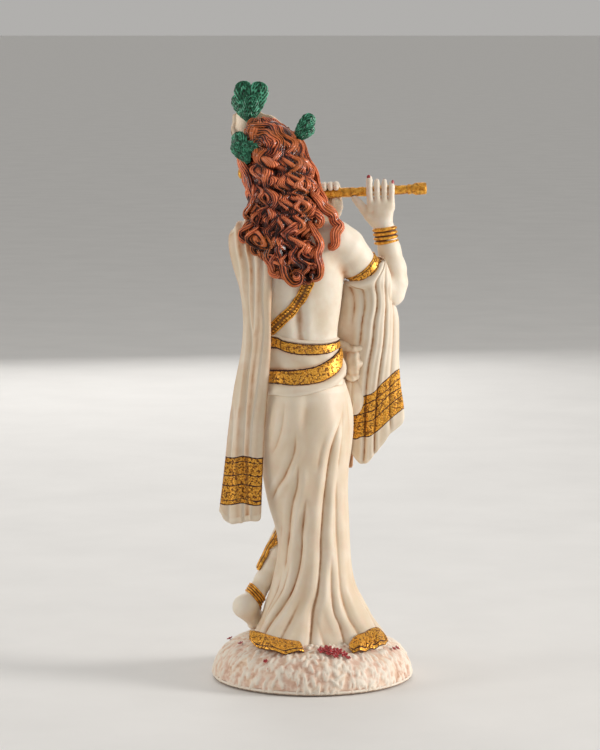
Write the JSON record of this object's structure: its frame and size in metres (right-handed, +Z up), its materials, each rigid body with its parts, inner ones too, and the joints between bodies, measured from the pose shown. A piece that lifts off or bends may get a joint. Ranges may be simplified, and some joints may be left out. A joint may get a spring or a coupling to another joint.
{
  "type": "flute player figurine",
  "caption": "Cast figurine of a standing flute player with long wavy hair, crown, shawl and pleated lower cloth, on a low rough mound.",
  "frame": {"origin": "centre of the mound's flat underside", "axes": "+Z up, the figure looks along -Y, and its left side is +X"},
  "size_m": [0.0931, 0.0866, 0.2583],
  "materials": {
    "ivory_cast": "painted warm ivory with a brown wash, gold borders and auburn hair",
    "mound_cast": "rough, painted cream with pink and brown touches",
    "gold_paint": "painted old gold"
  },
  "bodies": {
    "root": {"figure": "ivory_cast", "base": "mound_cast", "flute": "gold_paint"}
  },
  "joints": []
}
